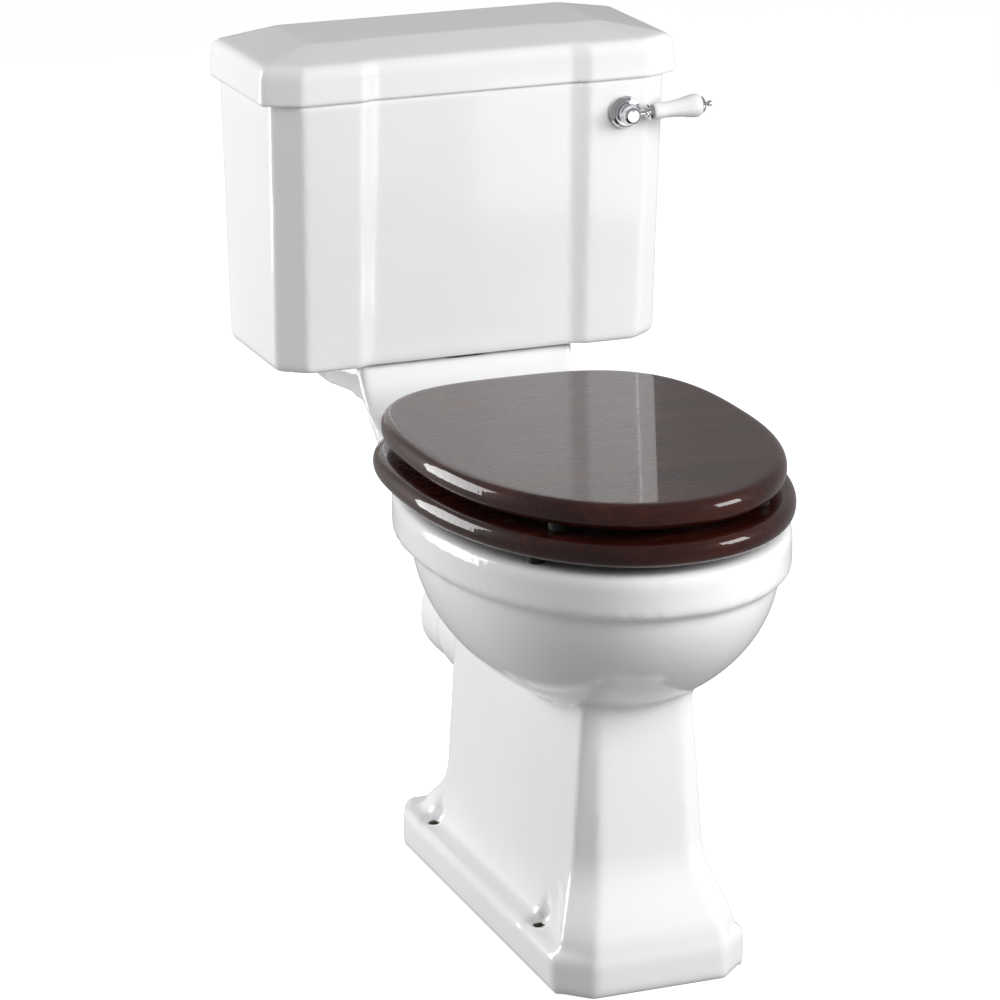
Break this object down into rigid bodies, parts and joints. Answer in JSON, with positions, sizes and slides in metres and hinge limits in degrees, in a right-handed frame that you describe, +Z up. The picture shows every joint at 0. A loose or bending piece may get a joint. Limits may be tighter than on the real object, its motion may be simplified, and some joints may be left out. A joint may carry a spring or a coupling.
{
  "type": "close coupled toilet",
  "caption": "Traditional close coupled toilet: china pan with a shelf, cistern bolted on it with a front lever, hinged wooden seat and cover, siphon and ball valve inside.",
  "frame": {"origin": "centre of the four floor screw holes, on the floor", "axes": "+Z up, +Y back to the wall, +X to the right when facing the toilet"},
  "size_m": [0.4657, 0.726, 0.82],
  "materials": {
    "glaze": "high gloss white glaze on vitreous china",
    "mahogany": "dark mahogany stain under a high gloss lacquer",
    "buffer_rubber": "matt black",
    "seal_rubber": "matt black",
    "chrome": "polished plate",
    "handle_china": "high gloss white glaze",
    "steel": "satin stainless",
    "brass": "machined, slightly dull",
    "white_plastic": "moulded, matt",
    "float_plastic": "moulded, semi gloss"
  },
  "bodies": {
    "root": {"pan": "glaze", "cistern_tank": "glaze", "doughnut_seal": "seal_rubber", "siphon_body": "white_plastic", "siphon_washer": "seal_rubber", "siphon_backnut": "white_plastic", "coupling_bolts": "steel", "coupling_rubber_washers": "seal_rubber", "coupling_steel_washers": "steel", "coupling_wing_nuts": "white_plastic", "lever_boss": "chrome", "lever_backnut": "brass", "fill_valve": "brass", "fill_valve_washer": "seal_rubber", "fill_valve_backnut": "white_plastic", "float_pivot_pin": "steel", "hinge_pillars": "chrome", "hinge_rod": "chrome", "hinge_rod_caps": "chrome", "hinge_studs": "steel", "hinge_washers": "steel", "hinge_wing_nuts": "white_plastic"},
    "seat": {"seat_ring": "mahogany", "ring_buffers": "buffer_rubber", "ring_brackets": "chrome", "ring_screws": "steel"},
    "cover": {"seat_cover": "mahogany", "cover_buffers": "buffer_rubber", "cover_brackets": "chrome", "cover_screws": "steel"},
    "lever": {"lever_hub": "chrome", "lever_neck": "chrome", "lever_grip": "handle_china", "lever_tie_rod": "steel", "lever_end_cap": "chrome", "lever_spindle": "steel", "lever_inner_arm": "brass", "lever_clamp_nut": "brass"},
    "lifter": {"siphon_rod": "steel", "siphon_plate": "white_plastic", "siphon_flap": "seal_rubber", "lift_link": "steel"},
    "float": {"float_arm": "brass", "float_ball": "float_plastic"},
    "plunger": {"valve_plunger": "white_plastic"},
    "lid": {"cistern_lid": "glaze"}
  },
  "joints": [
    {"name": "seat_hinge", "type": "hinge", "parent": "root", "child": "seat", "pos_m": [0, 0.157, 0.48], "axis": [1, 0, 0], "range_deg": [-90, 0]},
    {"name": "cover_hinge", "type": "hinge", "parent": "seat", "child": "cover", "pos_m": [0, 0.157, 0.48], "axis": [-1, 0, 0], "range_deg": [0, 90]},
    {"name": "flush_lever", "type": "hinge", "parent": "root", "child": "lever", "pos_m": [0.157, 0.196, 0.738], "axis": [0, 1, 0], "range_deg": [0, 30]},
    {"name": "siphon_lift", "type": "slide", "parent": "root", "child": "lifter", "axis": [0, 0, 1], "range_m": [0, 0.0456]},
    {"name": "float_swing", "type": "hinge", "parent": "root", "child": "float", "pos_m": [-0.128, 0.335, 0.684], "axis": [0, -1, 0], "range_deg": [0, 35]},
    {"name": "plunger_slide", "type": "slide", "parent": "root", "child": "plunger", "axis": [-1, 0, 0], "range_m": [0, 0.0097]},
    {"name": "lid_lift", "type": "slide", "parent": "root", "child": "lid", "axis": [0, 0, 1], "range_m": [0, 0.15]}
  ],
  "couplings": [
    {"joint": "siphon_lift", "follows": "flush_lever", "m_per_rad": 0.086997},
    {"joint": "plunger_slide", "follows": "float_swing", "m_per_rad": 0.015752}
  ]
}
